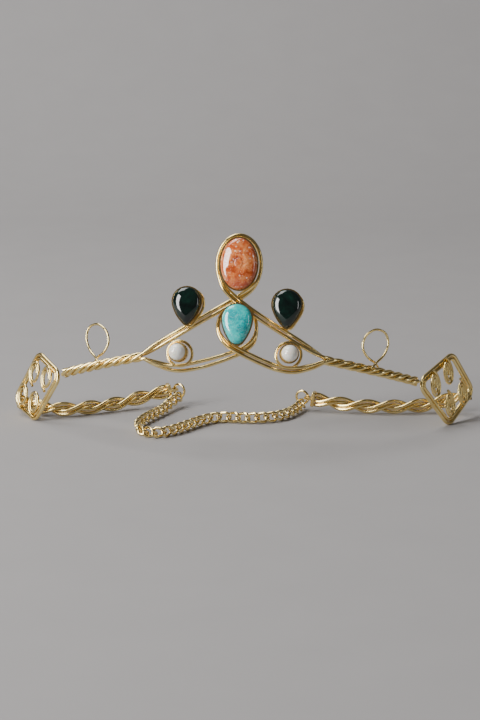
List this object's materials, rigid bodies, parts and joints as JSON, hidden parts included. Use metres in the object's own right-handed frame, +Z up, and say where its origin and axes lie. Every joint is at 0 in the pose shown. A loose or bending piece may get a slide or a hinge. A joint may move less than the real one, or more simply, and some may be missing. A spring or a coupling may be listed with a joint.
{
  "type": "circlet",
  "caption": "Open wire circlet: twisted wire ropes, a looped crest with cabochons and pearls, coiled side panels, twisted back arms and a chain.",
  "frame": {"origin": "centre of the bounding box in plan, at the surface that it stands on", "axes": "+Z up, -Y to the front, +X to the viewer's right"},
  "size_m": [0.1657, 0.0556, 0.0711],
  "materials": {
    "gold_wire": "polished, slightly drawn",
    "gold_setting": "polished, darker in the rims",
    "gold_chain": "polished",
    "orange_stone": "polished, glittering",
    "teal_stone": "polished, veined",
    "green_stone": "polished",
    "pearl": "lustrous"
  },
  "bodies": {
    "root": {"chain": "gold_chain", "left_arm_first_lower_wire": "gold_wire", "left_arm_first_upper_wire": "gold_wire", "left_arm_second_lower_wire": "gold_wire", "left_arm_second_upper_wire": "gold_wire", "left_bottom_coil": "gold_wire", "left_cap": "gold_wire", "left_front_coil": "gold_wire", "left_panel_inner_wire": "gold_wire", "left_panel_outer_wire": "gold_wire", "left_pear_bezel": "gold_setting", "left_pear_loop": "gold_wire", "left_pear_stone": "green_stone", "left_pearl": "pearl", "left_pearl_cup": "gold_setting", "left_pearl_curl": "gold_wire", "left_rear_coil": "gold_wire", "left_ring": "gold_chain", "left_standing_loop": "gold_wire", "left_top_coil": "gold_wire", "lower_front_wire": "gold_wire", "lower_rear_wire": "gold_wire", "middle_bezel": "gold_setting", "middle_stone": "teal_stone", "right_arm_first_lower_wire": "gold_wire", "right_arm_first_upper_wire": "gold_wire", "right_arm_second_lower_wire": "gold_wire", "right_arm_second_upper_wire": "gold_wire", "right_bottom_coil": "gold_wire", "right_cap": "gold_wire", "right_front_coil": "gold_wire", "right_panel_inner_wire": "gold_wire", "right_panel_outer_wire": "gold_wire", "right_pear_bezel": "gold_setting", "right_pear_loop": "gold_wire", "right_pear_stone": "green_stone", "right_pearl": "pearl", "right_pearl_cup": "gold_setting", "right_pearl_curl": "gold_wire", "right_rear_coil": "gold_wire", "right_ring": "gold_chain", "right_standing_loop": "gold_wire", "right_top_coil": "gold_wire", "top_bezel": "gold_setting", "top_stone": "orange_stone", "upper_front_wire": "gold_wire", "upper_rear_wire": "gold_wire"}
  },
  "joints": []
}
